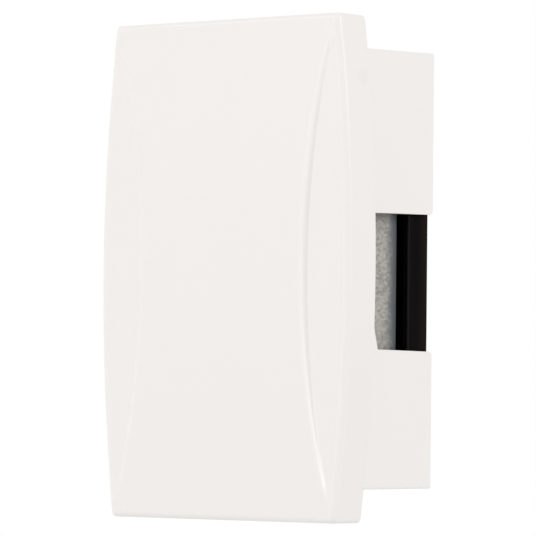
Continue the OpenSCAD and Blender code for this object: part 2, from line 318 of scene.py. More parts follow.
def lay(material, **sockets):  # values and links of the surface shader
    tree = material.node_tree
    shader = tree.nodes["Principled BSDF"]
    for key, value in sockets.items():
        socket = shader.inputs[socketNames[key]]
        if isinstance(value, Value):
            tree.links.new(value.socket, socket)
        else:
            socket.default_value = (*value, 1) if isinstance(value, tuple) else value
    return material


def whiteAbs():
    look = {"light": (0.876, 0.844, 0.82), "dull": (0.864, 0.832, 0.808), "matt": 0.22,
            "mark": (0.80, 0.765, 0.74), "markAt": at(40.3, 30.2, 49.6), "markSize": 3.4 * mm,
            "markShare": 0.45, "edgeHalf": 43.3 * mm, "edgeBow": 4.43 * mm, "edgeTop": 66.0 * mm,
            "edgeDepth": 36.0 * mm, "rubbed": 0.12, "rubbedTo": (1.4 * mm, 2.4 * mm),
            "handled": 0.22, "handledFrom": (0.2 * mm, 0.6 * mm)}
    material, pos = startPaint("whiteAbs")
    cloud = noise(pos, 26, 3)
    grain = noise(pos, 1500, 3, 0.6)
    away = pos.node("ShaderNodeVectorMath", {"operation": "DISTANCE"}, {0: pos, 1: look["markAt"]},
                    out="Value")
    mark = (1 - band(away, 0.2 * look["markSize"], look["markSize"])) * look["markShare"]
    colour = tones(mark, tones(cloud, look["light"], look["dull"]), look["mark"])
    # the panel's rounded edges are rubbed a little matt, most where hands pull on the front
    x, depth, z = coordinate(pos, "X"), 0 - coordinate(pos, "Y"), coordinate(pos, "Z")
    inward = look["edgeHalf"] - z * z * (look["edgeBow"] / look["edgeTop"] ** 2) - x.sum("ABSOLUTE", x)
    edge = band(depth, look["edgeDepth"], look["edgeDepth"] + mm) * (1 - band(inward, *look["rubbedTo"]))
    rubbed = edge * (look["rubbed"] + band(inward, *look["handledFrom"]) * look["handled"])
    return lay(material, colour=colour, specular=0.5, normal=bump(grain, 0.08, 0.00003),
               roughness=look["matt"] + (grain - 0.5) * 0.08 + (cloud - 0.5) * 0.05 + rubbed)


def blackAbs():
    look = {"deep": (0.0011, 0.0007, 0.0006), "worn": (0.0042, 0.0033, 0.0031), "matt": 0.58,
            "rearTone": (0.0092, 0.0055, 0.0044), "rearToneFrom": 4.5 * mm, "rearToneTo": 0.5 * mm,
            "rimFrom": 35.0 * mm, "rimFade": 0.4 * mm, "ridgeFrom": 37.75 * mm, "ridgeDepth": 7.4 * mm,
            "ridgeFade": 0.1 * mm, "rubbed": 0.2, "polish": 0.4}
    material, pos = startPaint("blackAbs")
    grain = noise(pos, 3200, 4, 0.65)
    flow = noise(stretched(pos, (40, 40, 6)), 3, 3)
    out, depth = coordinate(pos, "X"), 0 - coordinate(pos, "Y")
    out = out.sum("ABSOLUTE", out)
    rim = band(out, look["rimFrom"], look["rimFrom"] + look["rimFade"])  # textured, the rest is polished
    ridge = band(out, look["ridgeFrom"], look["ridgeFrom"] + look["ridgeFade"])  # rubbed by the cover
    ridge = ridge * band(depth, look["ridgeDepth"], look["ridgeDepth"] + look["ridgeFade"])
    towardRear = rim * (1 - band(depth, look["rearToneTo"], look["rearToneFrom"]))  # the rim turns lighter and browner towards its rear edge
    colour = tones(band(flow * 0.6 + grain * 0.4, 0.36, 0.64), look["deep"], look["worn"])
    return lay(material, colour=tones(towardRear, colour, look["rearTone"]),
               roughness=look["matt"] + (grain - 0.5) * 0.25, normal=bump(grain, 0.35, 0.00006),
               coat=(1 - rim) * look["polish"] + ridge * look["rubbed"], coatRough=0.32, specular=0.03)


def galvanised():
    look = {"bright": (0.478, 0.463, 0.426), "dull": (0.262, 0.254, 0.233), "edge": (0.165, 0.173, 0.19),
            "rolled": (1, 0.62, 1), "flakeScale": 1500, "speckScale": 1250, "rearEdge": 13.8 * mm,
            "frontEdge": 28.4 * mm, "edgeFade": 3.2 * mm, "edgeWander": 4.2 * mm, "matt": 0.52}
    material, pos = startPaint("galvanisedSteel")
    rolled = stretched(pos, look["rolled"])
    cell = pos.node("ShaderNodeTexVoronoi", {}, {"Vector": rolled, "Scale": look["flakeScale"],
                                                  "Randomness": 1.0}, out="Color")
    flake = cell.node("ShaderNodeSeparateColor", {}, {0: cell}, out=0)
    speck = noise(rolled, look["speckScale"], 4, 0.75)
    cloud = noise(pos, 160, 3)
    mix = band(flake * 0.35 + speck * 1.1 + cloud * 0.25, 0.48, 1.18)
    # the sheet's long edges are darker and bluer
    depth = 0 - coordinate(pos, "Y")
    wander = (noise(pos, 170, 4, 0.65) - 0.5) * look["edgeWander"]
    edge = band(look["rearEdge"] - depth + wander, 0.0, look["edgeFade"])
    edge = edge + band(depth - look["frontEdge"] + wander, 0.0, look["edgeFade"])
    colour = tones(edge, tones(mix, look["dull"], look["bright"]), look["edge"])
    return lay(material, colour=colour, metallic=0.6, normal=bump(speck + flake * 0.5, 0.22, 0.00005),
               roughness=look["matt"] + (speck - 0.5) * 0.3 - edge * 0.1)


def plated(name, light, dull, roughness, brush=(900, 900, 900)):  # a plated or turned metal
    material, pos = startPaint(name)
    lines = noise(stretched(pos, brush), 1, 3, 0.6)
    cloud = noise(pos, 240, 3)
    return lay(material, colour=tones(lines * 0.5 + cloud * 0.5, dull, light), metallic=1.0,
               roughness=roughness + (lines - 0.5) * 0.2 + (cloud - 0.5) * 0.1,
               normal=bump(lines, 0.15, 0.00003))


def moulded(name, light, dull, roughness, grainSize=1800):  # a moulded plastic
    material, pos = startPaint(name)
    cloud = noise(pos, 120, 3)
    grain = noise(pos, grainSize, 3, 0.6)
    return lay(material, colour=tones(cloud, light, dull), roughness=roughness + (grain - 0.5) * 0.16,
               normal=bump(grain, 0.2, 0.00004), specular=0.45)


def rubber():
    look = {"clean": (0.014, 0.0135, 0.013), "bloomed": (0.04, 0.039, 0.037), "matt": 0.72}
    material, pos = startPaint("grommetRubber")
    grain = noise(pos, 2600, 4, 0.7)
    bloom = band(noise(pos, 300, 3), 0.4, 0.75)
    return lay(material, colour=tones(bloom, look["clean"], look["bloomed"]), specular=0.3,
               roughness=look["matt"] + (grain - 0.5) * 0.2, normal=bump(grain, 0.4, 0.00008))


def enamelledWire():
    look = {"shaded": (0.21, 0.062, 0.018), "bright": (0.52, 0.2, 0.07), "matt": 0.3}
    material, pos = startPaint("enamelledWire")
    shade = noise(stretched(pos, (2400, 90, 90)), 1, 2)
    cloud = noise(pos, 200, 3)
    return lay(material, colour=tones(shade * 0.7 + cloud * 0.3, look["shaded"], look["bright"]),
               metallic=0.85, roughness=look["matt"] + (shade - 0.5) * 0.15, coat=0.6, coatRough=0.15)


def polyesterTape():
    look = {"light": (0.72, 0.46, 0.035), "deep": (0.56, 0.32, 0.02), "matt": 0.22}
    material, pos = startPaint("polyesterTape")
    ply = noise(stretched(pos, (60, 500, 500)), 1, 3)
    crease = noise(stretched(pos, (900, 120, 120)), 1, 4, 0.6)
    return lay(material, colour=tones(ply * 0.6 + crease * 0.4, look["light"], look["deep"]), coat=0.5,
               roughness=look["matt"] + (ply - 0.5) * 0.12, normal=bump(crease, 0.25, 0.00008))


paints = {
    "white": whiteAbs(), "black": blackAbs(), "plate": galvanised(), "rubber": rubber(),
    "wire": enamelledWire(), "tape": polyesterTape(),
    "yoke": plated("yokeZinc", (0.66, 0.67, 0.69), (0.45, 0.46, 0.49), 0.36, (300, 300, 2600)),
    "screw": plated("screwZinc", (0.72, 0.66, 0.5), (0.5, 0.45, 0.33), 0.3, (1500, 1500, 1500)),
    "springSteel": plated("springSteel", (0.3, 0.3, 0.32), (0.17, 0.17, 0.19), 0.38),
    "springWire": plated("springWire", (0.68, 0.68, 0.7), (0.48, 0.48, 0.51), 0.27, (1200, 300, 300)),
    "core": plated("coreIron", (0.56, 0.56, 0.58), (0.36, 0.36, 0.38), 0.33, (3000, 200, 200)),
    "tin": plated("tinnedBrass", (0.74, 0.72, 0.66), (0.55, 0.53, 0.46), 0.3),
    "brass": plated("terminalBrass", (0.76, 0.57, 0.25), (0.55, 0.39, 0.15), 0.26, (400, 400, 3000)),
    "nylon": moulded("naturalNylon", (0.76, 0.72, 0.6), (0.68, 0.64, 0.52), 0.42),
    "striker": moulded("strikerNylon", (0.82, 0.8, 0.72), (0.75, 0.72, 0.63), 0.4),
    "block": moulded("blockNylon", (0.72, 0.72, 0.68), (0.64, 0.64, 0.6), 0.45),
    "red": moulded("leadRed", (0.52, 0.022, 0.015), (0.4, 0.014, 0.01), 0.35, 900),
    "blue": moulded("leadBlue", (0.018, 0.035, 0.26), (0.012, 0.024, 0.19), 0.35, 900),
}
print("paints mixed,", len(paints))


# cover: a barrel panel with two scooped crescents, on a boxed body with side notches

coverSizes = {
    "top": 66.0, "endHalf": 38.87, "bow": 4.429, "front": 39.5, "rear": 27.5,
    "edge": 1.55, "cornerPower": 2.8, "rearEdge": 0.35, "crescentMid": 29.4, "crescentRise": 9.2,
    "crescentStop": 1.0, "scoopMid": 1.0, "scoopEnd": 0.15, "shoulder": 4.6, "footSoft": 0.14,
    "fade": (54.0, 63.0), "bodyHalf": 40.1, "bodyTop": 57.25, "bodyInto": 1.5, "bodyEdge": 0.6,
    "flare": 0.4, "gap": 0.5, "wall": 1.6, "wallEdge": 0.16, "skin": 36.9, "insideEdge": 0.7,
    "notchLow": -20.85, "notchHigh": 14.6, "notchOpen": 0.35, "notchDepth": 25.0, "notchRound": 1.2,
    "slantDepth": 2.4, "slantRise": 9.0, "catchHalf": 7.0, "catchDepth": (12.0, 13.6), "catchIn": 1.65,
    "post": 3.0, "postFrom": 8.0, "ribEdge": 0.35, "ribInto": 0.5,
    "pocketHalf": 8.6, "pocketsAt": (-28.0, -9.35, 9.35, 28.0), "pocketTop": 64.3, "pocketEdge": 0.4,
    "columns": (14, 14, 8, 8),  # in the field, the shoulder, its foot and the scoop
    "shoulderLead": 0.5, "footBand": 0.3, "edgeSteps": 9, "rows": 116,
}


def sideAt(z, c):  # half width of the panel at a height
    radius = arcRadius(2 * c["top"], c["bow"])
    return c["endHalf"] + c["bow"] - radius + math.sqrt(radius * radius - z * z)


def crescentAt(z, c):
    radius = arcRadius(2 * c["top"], c["crescentRise"])
    return c["crescentMid"] + radius - math.sqrt(radius * radius - z * z)


def crownAt(z, c):  # the field stands highest at mid height
    return (c["scoopMid"] - c["scoopEnd"]) * (z / c["top"]) ** 2


def stepAt(z, c):  # the shoulder's foot, how far the crescent lies below the field, the shoulder's width
    low, high = c["fade"]
    drop = (c["scoopMid"] - crownAt(z, c)) * (1 - ease((abs(z) - low) / (high - low)))
    foot = min(crescentAt(z, c), sideAt(z, c) - c["edge"] - c["crescentStop"])
    return foot, drop, math.sqrt(2 * c["shoulder"] * drop - drop * drop)


def faceDepth(x, z, c):  # depth of the front before its edges are rounded
    foot, drop, run = stepAt(z, c)
    past = min(max(0.0, abs(x) - foot + run), 0.95 * c["shoulder"])
    arc = c["shoulder"] - math.sqrt(c["shoulder"] ** 2 - past * past)
    soft = min(c["footSoft"], drop / 2 + 1e-6)
    share = min(1.0, max(0.0, 0.5 + (drop - arc) / (2 * soft)))  # a small fillet at the shoulder's foot
    return c["front"] - crownAt(z, c) - (drop + (arc - drop) * share - soft * share * (1 - share))


def spaced(start, end, count):
    return [start + (end - start) * i / count for i in range(count)]


def columnsAt(z, c):  # columns of the right half, as distances from the middle, and where the edge starts
    side = sideAt(z, c) - c["edge"]
    foot, _, run = stepAt(z, c)
    stops = (0, foot - run - c["shoulderLead"], foot - c["footBand"], foot + c["footBand"], side)
    made = []
    for start, end, count in zip(stops, stops[1:], c["columns"]):
        made += spaced(start, end, count)
    return made, side


def makePanel(c):
    steps = c["edgeSteps"]
    turns = [math.pi / 2 * i / steps for i in range(steps + 1)]
    border = [(c["edge"] * math.sin(a), c["edge"] * (1 - math.cos(a))) for a in turns]  # outward and drop
    half = sum(c["columns"]) + steps
    tall = c["rows"] + 2 * steps
    clear()
    bpy.ops.mesh.primitive_grid_add(x_subdivisions=2 * half, y_subdivisions=tall, size=2)
    obj = bpy.context.object
    obj.name = "panelCover"
    inner = c["top"] - c["edge"]
    for vert in obj.data.vertices:
        i = round((vert.co.x + 1) * half) - half
        j = round((vert.co.y + 1) / 2 * tall) - steps
        k, over = max(0, abs(i) - half + steps), max(0, -j, j - c["rows"])
        p, v, drop = border[k][0], border[over][0], border[max(k, over)][1]
        if k and over:  # the corners are rounded between the two borders
            size = (p ** c["cornerPower"] + v ** c["cornerPower"]) ** (1 / c["cornerPower"])
            p, v = p * max(p, v) / size, v * max(p, v) / size
        up = -1 if j < c["rows"] / 2 else 1
        z = up * (inner + v) if over else inner * (2 * j / c["rows"] - 1)
        made, side = columnsAt(z, c)
        x = side + p if abs(i) >= half - steps else made[abs(i)]
        x = x if i >= 0 else -x
        vert.co = at(x, faceDepth(x, z, c) - drop, z)
    # the border runs back to the rear of the panel and is closed there
    pick(obj, "EDGE", lambda e: e.is_boundary)
    bpy.ops.mesh.extrude_edges_move(TRANSFORM_OT_translate={"value": (0, 0, 0)})
    bpy.ops.transform.resize(value=(1, 0, 1), center_override=at(0, c["rear"], 0))
    bpy.ops.mesh.edge_face_add()
    leave()
    bevelled(obj, lambda e: all(abs(-v.co.y / mm - c["rear"]) < 0.01 for v in e.verts), c["rearEdge"], 3)
    return facedOut(obj)


def rearGrown(tool, growX, growZ, z=0):  # the draft that lets a moulding leave its tool
    deep = min(-v.co.y for v in tool.data.vertices) / mm
    spots = [v.co / mm for v in tool.data.vertices]
    halfX, halfZ = max(abs(s.x) for s in spots), max(abs(s.z - z) for s in spots)
    pick(tool, "FACE", lambda f: abs(middle(f)[1] - deep) < 0.01)
    bpy.ops.transform.resize(value=(1 + growX / halfX, 1, 1 + growZ / halfZ), center_override=at(0, 0, z))
    leave()
    return tool


def makeNotch(c, side):
    inX, outX = c["bodyHalf"] - c["wall"] - 1, c["bodyHalf"] + 5
    xs = sorted((side * inX, side * outX))
    tool = blockAt("notchTool", *xs, -1, c["notchDepth"], c["notchLow"], c["notchHigh"])
    rearGrown(tool, 0, c["notchOpen"], (c["notchLow"] + c["notchHigh"]) / 2)
    pick(tool, "FACE")
    bpy.ops.mesh.bisect(plane_co=at(0, c["notchDepth"] - c["slantDepth"], c["notchLow"]),
                        plane_no=Vector((0, -c["slantRise"], -c["slantDepth"])).normalized(),
                        use_fill=True, clear_outer=True)
    leave()
    return tool


def makeCover(c):
    obj = makePanel(c)
    half, top = c["bodyHalf"], c["bodyTop"]
    inX, inZ = half - c["wall"], top - c["wall"]
    body = blockAt("bodyTool", -half, half, c["gap"], c["rear"] + c["bodyInto"], -top, top)
    rearGrown(body, c["flare"], c["flare"], -top)
    bevelled(body, lambda e: span(e, "y") > 10, c["bodyEdge"], 4)
    cut(obj, body, "UNION")
    cavity = blockAt("cavityTool", -inX, inX, -1, c["skin"], -inZ, inZ)
    rearGrown(cavity, c["flare"], c["flare"], -inZ)
    bevelled(cavity, lambda e: middle(e)[1] > 1, c["insideEdge"], 3)
    cut(obj, cavity)
    pockets = []
    for up in (-1, 1):
        levels = sorted((up * top, up * c["pocketTop"]))
        for x in c["pocketsAt"]:
            pockets.append(blockAt("pocketTool", x - c["pocketHalf"], x + c["pocketHalf"],
                                   c["rear"] - 1, c["skin"], *levels))
    pockets = joined(pockets, "pocketTool")
    bevelled(pockets, lambda e: middle(e)[1] > c["rear"], c["pocketEdge"], 2)
    cut(obj, pockets)
    for side in (-1, 1):
        cut(obj, makeNotch(c, side))
    opened = c["notchOpen"] * (c["notchDepth"] - c["gap"]) / (c["notchDepth"] + 1)
    ends = (c["notchLow"] - opened, c["notchHigh"] + opened)

    def notchCorner(e):  # through the wall, where a notch meets the rear edge
        _, depth, z = middle(e)
        through = span(e, "x") > 0.75 * c["wall"]
        return through and abs(depth - c["gap"]) < 0.05 and min(abs(z - end) for end in ends) < 0.05

    bevelled(obj, notchCorner, c["notchRound"], 5)
    for up in (-1, 1):  # the rib behind each tongue, and the posts in the corners
        levels = sorted((up * (inZ - c["catchIn"]), up * (inZ + c["ribInto"])))
        rib = blockAt("catchTool", -c["catchHalf"], c["catchHalf"], *c["catchDepth"], *levels)
        cut(obj, softEdges(rib, c["ribEdge"]), "UNION")
        for side in (-1, 1):
            xs = sorted((side * (inX - c["post"]), side * (inX + c["ribInto"])))
            zs = sorted((up * (inZ - c["post"]), up * (inZ + c["ribInto"])))
            post = blockAt("postTool", *xs, c["postFrom"], c["skin"] + c["ribInto"], *zs)
            cut(obj, softEdges(post, c["ribEdge"]), "UNION")
    reach = c["notchRound"] + 0.2

    def freeEdge(e):  # the sharp edges of the walls, at the rear and round the notches
        if len(e.link_faces) != 2 or e.calc_face_angle() <= 0.7:
            return False
        x, depth, z = middle(e)
        atNotch = abs(x) > inX - 0.05 and c["notchLow"] - reach < z < c["notchHigh"] + reach
        return depth < c["gap"] + 0.02 or (atNotch and depth < c["notchDepth"] + 0.1)

    return bevelled(obj, freeEdge, c["wallEdge"], 2)


cover = makeCover(coverSizes)
dress(cover, paints["white"], "cover", "cover_white", "cover", angle=28)
print("cover made")


# what the cover hides: bevelled copies of the moulded and pressed pieces

backSizes = {
    "deep": 0.5, "half": 34.0, "near": 3.5, "far": 51.0, "corner": 3.0, "pinAt": (22.0, 26.0),
    "pin": (2.5, 0.12), "bosses": ((0, 42.0, 6.5), (0, -42.0, 6.5), (16.0, -40.0, 9.0)),
    "rim": (38.3, 7.9), "rimRound": 0.5,
}


def hollowBack(obj, c):  # shallow hollows that keep the moulding flat, with a boss left round each hole
    for up in (-1, 1):
        levels = sorted((up * c["near"], up * c["far"]))
        tool = blockAt("hollowTool", -c["half"], c["half"], -1, c["deep"], *levels)
        bevelled(tool, lambda e: span(e, "y") > 0.5, c["corner"], 6)
        for x, z, radius in c["bosses"]:
            if z * up > 0:
                cut(tool, barAt("bossTool", radius, at(x, -2, z), at(x, c["deep"] + 1, z)))
        cut(obj, tool)
        (x, z), (radius, deep) = c["pinAt"], c["pin"]
        for side in (-1, 1):  # marks of the ejector pins
            start, end = at(side * x, -1, up * z), at(side * x, c["deep"] + deep, up * z)
            cut(obj, barAt("pinTool", radius, start, end))
    out, front = c["rim"]

    def rimEdge(e):  # the long front edges of the rim
        x, depth, _ = middle(e)
        return span(e, "z") > 2 and abs(abs(x) - out) < 0.03 and abs(depth - front) < 0.03

    return bevelled(obj, rimEdge, c["rimRound"], 4)


for node, name, paint, slot, width in (
        ("base", "trayBase", "black", "base_black", 0.22),
        ("cover_latch_top", "latchTop", "black", "latch_black", 0.2),
        ("cover_latch_bottom", "latchBottom", "black", "latch_black", 0.2),
        ("yoke", "yokeStrip", "yoke", "yoke_steel", 0.16),
        ("bobbin", "coilFormer", "nylon", "bobbin_nylon", 0.2),
        ("terminal_block", "terminalBlock", "block", "block_nylon", 0.25),
        ("terminal_sleeve_left", "terminalSleeveLeft", "brass", "terminal_brass", 0.12),
        ("terminal_sleeve_right", "terminalSleeveRight", "brass", "terminal_brass", 0.12)):
    made = cadCopy(node, name)
    if node == "base":
        hollowBack(made, backSizes)
    softEdges(made, width)
    dress(made, paints[paint], "base", slot, node)
print("moulded pieces made")


# tone plates: sheared bars with a grommet hole at each still point

plateSizes = {"inner": 32.9, "outer": 35.4, "rear": 9.2, "front": 33.0, "axis": 21.0, "hole": 4.0,
              "edge": 0.35, "holeEdge": 0.2, "right": (1, 49.0, 27.05), "left": (-1, 44.0, 24.29)}


def makePlate(name, c, side, half, hole):
    xs = sorted((side * c["inner"], side * c["outer"]))
    obj = blockAt(name, *xs, c["rear"], c["front"], -half, half)
    softEdges(obj, c["edge"], 4)
    for up in (-1, 1):
        cut(obj, barAt("holeTool", c["hole"], at(side * (c["inner"] - 2), c["axis"], up * hole),
                       at(side * (c["outer"] + 2), c["axis"], up * hole)))

    def holeRim(e):
        away = [math.hypot(v.co.y / mm + c["axis"], abs(v.co.z / mm) - hole) for v in e.verts]
        return span(e, "x") < 0.1 and all(abs(a - c["hole"]) < 0.02 for a in away)

    return bevelled(obj, holeRim, c["holeEdge"], 2)


for name, node, key in (("tonePlateRight", "tone_plate_right", "right"),
                        ("tonePlateLeft", "tone_plate_left", "left")):
    plate = makePlate(name, plateSizes, *plateSizes[key])
    dress(plate, paints["plate"], "base", "galvanised_steel", node)


# grommets and the push-on washers that hold them

grommetSizes = {
    "axis": 21.0, "flange": 5.5, "neck": 3.9, "bore": 2.05, "inside": (30.0, 32.85),
    "outside": (35.45, 36.85), "edge": 0.5, "washer": (36.9, 37.4), "washerOut": 4.0, "washerTop": 3.1,
    "washerUnder": 2.95, "washerDip": 0.02, "washerEdge": 0.05, "slots": 3, "slotHalf": 0.35, "slotTo": 3.0,
}


def makeGrommet(c):
    (a, b), (d, e), bore, flange, neck = c["inside"], c["outside"], c["bore"], c["flange"], c["neck"]
    obj = turned("grommet", [(a, bore), (a, flange), (b, flange), (b, neck), (d, neck), (d, flange),
                             (e, flange), (e, bore), (a, bore)], at(0, c["axis"], 0), across, upward, 72)
    return softEdges(obj, c["edge"], 4)


def makeWasher(c):
    (a, b), out, bore, hub = c["washer"], c["washerOut"], c["bore"], at(0, c["axis"], 0)
    mid = (a + b) / 2
    obj = turned("washer", [(a, out), (mid, out), (b, c["washerTop"]), (b, bore), (mid, bore),
                            (mid - c["washerDip"], c["washerUnder"]), (a, out)], hub, across, upward, 60)
    for i in range(c["slots"]):
        tool = blockAt("slotTool", a - 1, b + 1, c["axis"] - c["slotHalf"], c["axis"] + c["slotHalf"],
                       0, c["slotTo"])
        tool.data.transform(about(hub, Matrix.Rotation(2 * math.pi * i / c["slots"], 4, "X")))
        cut(obj, tool)
    return softEdges(obj, c["washerEdge"])


def sitting(side, z):  # from the right side's axis to one of the four still points
    turn = Matrix.Identity(4)
    if side < 0:
        turn = about(at(0, grommetSizes["axis"], 0), Matrix.Rotation(math.pi, 4, "Z"))
    return Matrix.Translation((0, 0, z * mm)) @ turn


grommet, washer, washers = makeGrommet(grommetSizes), makeWasher(grommetSizes), []
for key, word in (("right", "Right"), ("left", "Left")):
    side, _, hole = plateSizes[key]
    for up, level in ((1, "Upper"), (-1, "Lower")):
        made = copyOf(grommet, "grommet" + word + level, sitting(side, up * hole))
        dress(made, paints["rubber"], "base", "grommet_rubber", "grommet_" + key + "_" + level.lower())
        washers.append(copyOf(washer, "retainingWashers", sitting(side, up * hole)))
bpy.data.objects.remove(grommet)
bpy.data.objects.remove(washer)
dress(joined(washers, "retainingWashers"), paints["springSteel"], "base", "spring_steel", "retaining_washers")
print("plates, grommets and washers made")


# screws: pan heads by seat, shank, head and length, clamp screws by foot, seat, top, shank and head

screwSizes = {
    "yokeAt": 16.0, "yoke": (9.0, 1.5, 2.8, 6.0), "besideBlock": (-15.0, -35.0),
    "block": (10.0, 1.2, 1.8, 8.8), "domeRise": 0.7, "domeSteps": 6, "headEdge": 0.06,
    "cross": (0.65, 0.13), "crossFrom": 0.45,
    "clampAt": [(x, z) for x in (-19.0, -11.0) for z in (-31.0, -39.0)],
    "clamp": (8.8, 10.8, 13.0, 1.25, 2.0), "clampTip": 0.2, "clampEdge": 0.15,
    "slotDeep": 0.8, "slotHalf": 0.3,
}


def panScrew(name, c, x, z, seat, shank, head, length):
    rise, foot, dome = head * c["domeRise"], seat - length, []
    for i in range(c["domeSteps"] + 1):
        a = math.pi / 2 * i / c["domeSteps"]
        dome.append((seat + rise * (0.5 + 0.5 * math.sin(a)), head * (0.3 + 0.7 * math.cos(a))))
    stem = [(foot, 0), (foot, shank * 0.5), (foot + shank, shank), (seat, shank), (seat, head)]
    obj = turned(name, stem + dome + [(seat + rise, 0)], at(x, 0, z), forward, across, 48)
    softEdges(obj, c["headEdge"], 2, 50)
    wide, thin = (head * share for share in c["cross"])
    bottom, over = seat + rise * c["crossFrom"], seat + rise + 1
    for a, b in ((wide, thin), (thin, wide)):
        cut(obj, blockAt("crossTool", x - a, x + a, bottom, over, z - b, z + b))
    return obj


def clampScrew(name, c, x, z, foot, seat, top, shank, head):
    tip = c["clampTip"]
    obj = turned(name, [(foot, 0), (foot, shank - tip), (foot + tip, shank), (seat, shank), (seat, head),
                        (top, head), (top, 0)], at(x, 0, z), forward, across, 40)
    softEdges(obj, c["clampEdge"])
    return cut(obj, blockAt("slotTool", x - head - 1, x + head + 1, top - c["slotDeep"], top + 1,
                            z - c["slotHalf"], z + c["slotHalf"]))


both = [panScrew("yokeScrews", screwSizes, 0, up * screwSizes["yokeAt"], *screwSizes["yoke"])
        for up in (-1, 1)]
dress(joined(both, "yokeScrews"), paints["screw"], "base", "screw_steel", "yoke_screws")
blockScrew = panScrew("blockScrew", screwSizes, *screwSizes["besideBlock"], *screwSizes["block"])
dress(blockScrew, paints["screw"], "base", "screw_steel", "block_screw")
x0, z0 = screwSizes["clampAt"][0]
first = clampScrew("terminalScrews", screwSizes, x0, z0, *screwSizes["clamp"])
rest = [copyOf(first, "terminalScrews", Matrix.Translation(((x - x0) * mm, 0, (z - z0) * mm)))
        for x, z in screwSizes["clampAt"][1:]]
dress(joined([first] + rest, "terminalScrews"), paints["screw"], "base", "screw_steel", "terminal_screws")
print("screws made")


# coil: layered wire, its tape, the tags and the two leads

coilSizes = {
    "axis": 21.0, "radius": 10.6, "core": 5.05, "half": 15.6, "turns": 78, "dip": 0.13, "ridgeSteps": 6,
    "tapeRadius": 10.67, "tapeThick": 0.08, "tapeHalf": 12.5, "tapeTurns": 1.14, "tapeColumns": 24,
    "tapeSteps": 110, "tapeLift": 0.085, "tapeClimb": (0.93, 0.07),
    "tagX": -15.7, "tagDepths": (16.0, 26.0), "tagTop": -12.1, "tagEnd": -17.6, "tagRadius": 0.5,
    "solder": ((2.2, 1), (1.5, 1.18), (0.7, 1.5), (0.1, 1.55), (-0.3, 1.35), (-0.5, 0)),
    "ways": (-19.0, -11.0), "wayDepth": 8.0, "leadRadius": 0.58, "leadFoot": -26.4, "leadEnd": -29.3,
    "leadStart": 0.8, "leadInto": 0.02, "leadHandles": (0.2, 5.0, 1.0),
}


def makeWinding(c):
    pitch, steps = 2 * c["half"] / c["turns"], c["ridgeSteps"]
    ridge = [(pitch * (i / steps - 0.5), c["radius"] - c["dip"] * (1 - math.sin(math.pi * i / steps)))
             for i in range(steps + 1)]
    obj = turned("coilWinding", ridge, at(pitch / 2 - c["half"], c["axis"], 0), across, upward, 96)
    finished(obj, "ARRAY", count=c["turns"], use_relative_offset=False, use_constant_offset=True,
             constant_offset_displace=(pitch * mm, 0, 0), use_merge_vertices=True, merge_threshold=1e-5)
    # each end goes down to the former's tube and the two ends meet there
    pick(obj, "EDGE", lambda e: e.is_boundary)
    bpy.ops.mesh.extrude_edges_move(TRANSFORM_OT_translate={"value": (0, 0, 0)})
    small = c["core"] / (c["radius"] - c["dip"])
    bpy.ops.transform.resize(value=(1, small, small), center_override=at(0, c["axis"], 0))
    bpy.ops.mesh.bridge_edge_loops()
    return facedOut(obj)


def makeTape(c):
    count, steps, hub = c["tapeColumns"], c["tapeSteps"], at(0, c["axis"], 0)
    obj = lineOf("coilTape", [at(c["tapeHalf"] * (2 * i / count - 1), c["axis"], c["tapeRadius"])
                              for i in range(count + 1)])
    bpy.ops.mesh.spin(steps=steps, angle=2 * math.pi * c["tapeTurns"], center=hub, axis=across)
    leave()
    climb, run = c["tapeClimb"]
    for vert in obj.data.vertices:  # the free end climbs onto the first layer
        turn = (vert.index // (count + 1)) / steps * c["tapeTurns"]
        away = vert.co - hub
        flat = Vector((0, away.y, away.z))
        vert.co += flat.normalized() * (c["tapeLift"] * ease((turn - climb) / run) * mm)
    finished(obj, "SOLIDIFY", thickness=c["tapeThick"] * mm, offset=1.0)
    return facedOut(obj)


def makeTags(c):
    r, top, end = c["tagRadius"], c["tagTop"], c["tagEnd"]
    drop = [(end + up, r * wide) for up, wide in c["solder"]]
    tags = [turned("solderTags", [(top, 0), (top, r)] + drop, at(c["tagX"], depth, 0), upward, across, 28)
            for depth in c["tagDepths"]]
    return joined(tags, "solderTags")


def makeLead(name, c, depth, x):
    joint = at(c["tagX"], depth, c["tagEnd"] - c["leadInto"])
    top = joint - upward * (c["leadStart"] * mm)
    foot, end = at(x, c["wayDepth"], c["leadFoot"]), at(x, c["wayDepth"], c["leadEnd"])
    small, bend, straight = (upward * (reach * mm) for reach in c["leadHandles"])
    path = ((joint, small, small), (top, small, bend), (foot, bend, straight), (end, straight, straight))
    clear()
    bpy.ops.curve.primitive_bezier_curve_add()
    obj = bpy.context.object
    obj.name = name
    obj.location = (0, 0, 0)
    curve = obj.data
    curve.dimensions, curve.resolution_u = "3D", 16
    curve.bevel_depth, curve.bevel_resolution, curve.use_fill_caps = c["leadRadius"] * mm, 6, True
    spline = curve.splines[0]
    spline.bezier_points.add(2)
    for spot, (here, before, after) in zip(spline.bezier_points, path):
        spot.handle_left_type = spot.handle_right_type = "FREE"
        spot.co, spot.handle_left, spot.handle_right = here, here + before, here - after
    take(obj)
    bpy.ops.object.convert(target="MESH")
    return settle(bpy.context.object)


dress(makeWinding(coilSizes), paints["wire"], "base", "enamelled_copper", "coil_winding", angle=60)
dress(makeTape(coilSizes), paints["tape"], "base", "coil_tape", "coil_tape")
dress(makeTags(coilSizes), paints["tin"], "base", "tinned_brass", "solder_tags", angle=50)
for name, node, slot, paint, i in (("coilLeadLeft", "coil_lead_left", "lead_red", "red", 0),
                                   ("coilLeadRight", "coil_lead_right", "lead_blue", "blue", 1)):
    lead = makeLead(name, coilSizes, coilSizes["tagDepths"][i], coilSizes["ways"][i])
    dress(lead, paints[paint], "base", slot, node)
print("coil made")


# plunger: core, strikers, clip and the spring that pushes it back

